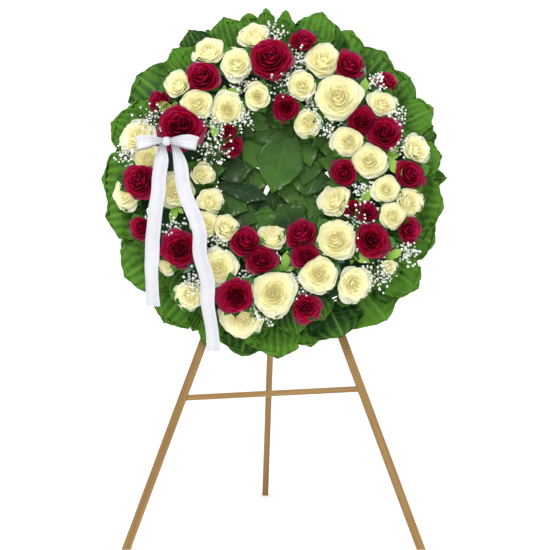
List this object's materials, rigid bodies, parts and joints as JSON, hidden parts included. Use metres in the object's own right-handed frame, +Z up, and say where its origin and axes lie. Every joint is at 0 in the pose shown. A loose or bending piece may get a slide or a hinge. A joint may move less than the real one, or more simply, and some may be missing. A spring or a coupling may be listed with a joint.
{
  "type": "funeral wreath",
  "caption": "Round standing funeral wreath of red and cream roses, leaves and baby's breath with a white ribbon bow, on a folding wooden tripod easel.",
  "frame": {"origin": "on the floor under the middle of the object's bounding box", "axes": "+Z up, the wreath faces -Y, +X to the viewer's right"},
  "size_m": [0.768, 0.6323, 1.1689],
  "materials": {
    "wood": "sawn, lightly varnished",
    "centre_leaf": "living leaf, glossy",
    "leaf": "living leaf, waxy",
    "cream_petal": "living petal, soft matt",
    "filler": "small white florets on green stalks",
    "foam": "wet floral foam, matt",
    "brass": "satin",
    "red_petal": "living petal, velvety",
    "satin": "satin ribbon",
    "tray": "moulded"
  },
  "bodies": {
    "stand": {"centre_leaves_bottom": "centre_leaf", "centre_leaves_left": "centre_leaf", "centre_leaves_right": "centre_leaf", "centre_leaves_top": "centre_leaf", "centre_post": "wood", "collar_leaves_1": "leaf", "collar_leaves_2": "leaf", "collar_leaves_3": "leaf", "collar_leaves_4": "leaf", "collar_leaves_5": "leaf", "collar_leaves_6": "leaf", "cream_roses_bottom": "cream_petal", "cream_roses_bottom_right": "cream_petal", "cream_roses_inner_left": "cream_petal", "cream_roses_inner_lower_left": "cream_petal", "cream_roses_inner_right": "cream_petal", "cream_roses_inner_top_left": "cream_petal", "cream_roses_inner_top_right": "cream_petal", "cream_roses_left": "cream_petal", "cream_roses_lower_left": "cream_petal", "cream_roses_lower_right": "cream_petal", "cream_roses_right": "cream_petal", "cream_roses_top_left": "cream_petal", "cream_roses_top_right": "cream_petal", "cream_roses_upper_left": "cream_petal", "cream_roses_upper_right": "cream_petal", "crossbar": "wood", "filler_spray_bottom_left": "filler", "filler_spray_bottom_right": "filler", "filler_spray_right": "filler", "filler_spray_top": "filler", "filler_spray_upper_left": "filler", "filler_spray_upper_right": "filler", "foam_ring": "foam", "front_leg_left": "wood", "front_leg_right": "wood", "hanging_peg": "wood", "hinge_pin": "brass", "hinge_upper_leaf": "brass", "red_rose_bottom": "red_petal", "red_rose_bottom_right": "red_petal", "red_rose_far_left": "red_petal", "red_rose_inner_top": "red_petal", "red_rose_upper_left": "red_petal", "red_roses_far_right": "red_petal", "red_roses_inner_bottom": "red_petal", "red_roses_inner_left": "red_petal", "red_roses_inner_lower_right": "red_petal", "red_roses_inner_right": "red_petal", "red_roses_left": "red_petal", "red_roses_lower_left": "red_petal", "red_roses_right": "red_petal", "red_roses_top": "red_petal", "red_roses_upper_right": "red_petal", "ribbon_bow": "satin", "ribbon_tail_left": "satin", "ribbon_tail_right": "satin", "ring_tray": "tray"},
    "back_leg": {"back_leg": "wood", "hinge_lower_leaf": "brass"}
  },
  "joints": [
    {"name": "back_leg_fold", "type": "hinge", "parent": "stand", "child": "back_leg", "pos_m": [0.004, -0.08701, 0.93888], "axis": [1, 0, 0], "range_deg": [-32, 0]}
  ]
}
